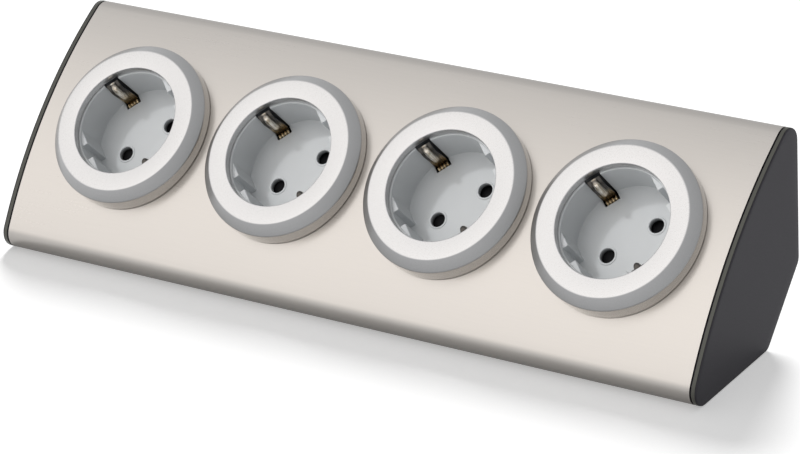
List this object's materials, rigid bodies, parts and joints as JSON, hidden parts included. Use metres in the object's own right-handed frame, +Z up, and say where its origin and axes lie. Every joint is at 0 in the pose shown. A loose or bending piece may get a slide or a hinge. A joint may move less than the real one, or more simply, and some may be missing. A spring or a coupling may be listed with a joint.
{
  "type": "corner power strip",
  "caption": "Corner power strip: bowed brushed steel front at 45 degrees with round earthed plug wells in silver rings, shuttered pin holes, dark end caps and keyholes in the back.",
  "frame": {"origin": "middle of the strip's footprint on the worktop", "axes": "+X along the strip, +Y towards the wall behind it, +Z up from the worktop"},
  "size_m": [0.28, 0.072, 0.072],
  "materials": {
    "satin_steel": "fine satin brushing along the strip",
    "dark_plastic": "dark grey, fine moulded grain",
    "black_plastic": "black moulded plastic",
    "grey_plastic": "light grey, semi-matt",
    "silver_paint": "fine silver metallic paint",
    "nickel": "nickel plated spring brass",
    "brass": "plain stamped brass",
    "zinc": "zinc plated steel",
    "brown_sleeve": "brown sleeve",
    "blue_sleeve": "blue sleeve",
    "green_sleeve": "green and yellow sleeve"
  },
  "bodies": {
    "housing": {"front_panel": "satin_steel", "rear_housing": "dark_plastic", "end_cap_left": "dark_plastic", "end_cap_right": "dark_plastic", "cable_gland": "black_plastic", "gland_nut": "black_plastic", "trim_ring_1": "silver_paint", "socket_insert_1": "grey_plastic", "earth_clip_1": "nickel", "line_contact_1": "brass", "neutral_contact_1": "brass", "socket_base_1": "dark_plastic", "base_screw_1": "zinc", "shutter_spring_1": "zinc", "trim_ring_2": "silver_paint", "socket_insert_2": "grey_plastic", "earth_clip_2": "nickel", "line_contact_2": "brass", "neutral_contact_2": "brass", "socket_base_2": "dark_plastic", "base_screw_2": "zinc", "shutter_spring_2": "zinc", "trim_ring_3": "silver_paint", "socket_insert_3": "grey_plastic", "earth_clip_3": "nickel", "line_contact_3": "brass", "neutral_contact_3": "brass", "socket_base_3": "dark_plastic", "base_screw_3": "zinc", "shutter_spring_3": "zinc", "trim_ring_4": "silver_paint", "socket_insert_4": "grey_plastic", "earth_clip_4": "nickel", "line_contact_4": "brass", "neutral_contact_4": "brass", "socket_base_4": "dark_plastic", "base_screw_4": "zinc", "shutter_spring_4": "zinc", "line_wire_1": "brown_sleeve", "neutral_wire_1": "blue_sleeve", "earth_wire_1": "green_sleeve", "line_wire_2": "brown_sleeve", "neutral_wire_2": "blue_sleeve", "earth_wire_2": "green_sleeve", "line_wire_3": "brown_sleeve", "neutral_wire_3": "blue_sleeve", "earth_wire_3": "green_sleeve"},
    "shutter_1": {"shutter_1": "black_plastic"},
    "shutter_2": {"shutter_2": "black_plastic"},
    "shutter_3": {"shutter_3": "black_plastic"},
    "shutter_4": {"shutter_4": "black_plastic"}
  },
  "joints": [
    {"name": "shutter_1_turn", "type": "hinge", "parent": "housing", "child": "shutter_1", "pos_m": [-0.0981, -0.01322, 0.04922], "axis": [0, 0.7071, -0.7071], "range_deg": [0, 38], "stiffness_Nm_per_rad": 0.01, "deforming": ["shutter_spring_1"]},
    {"name": "shutter_2_turn", "type": "hinge", "parent": "housing", "child": "shutter_2", "pos_m": [-0.0327, -0.01322, 0.04922], "axis": [0, 0.7071, -0.7071], "range_deg": [0, 38], "stiffness_Nm_per_rad": 0.01, "deforming": ["shutter_spring_2"]},
    {"name": "shutter_3_turn", "type": "hinge", "parent": "housing", "child": "shutter_3", "pos_m": [0.0327, -0.01322, 0.04922], "axis": [0, 0.7071, -0.7071], "range_deg": [0, 38], "stiffness_Nm_per_rad": 0.01, "deforming": ["shutter_spring_3"]},
    {"name": "shutter_4_turn", "type": "hinge", "parent": "housing", "child": "shutter_4", "pos_m": [0.0981, -0.01322, 0.04922], "axis": [0, 0.7071, -0.7071], "range_deg": [0, 38], "stiffness_Nm_per_rad": 0.01, "deforming": ["shutter_spring_4"]}
  ]
}
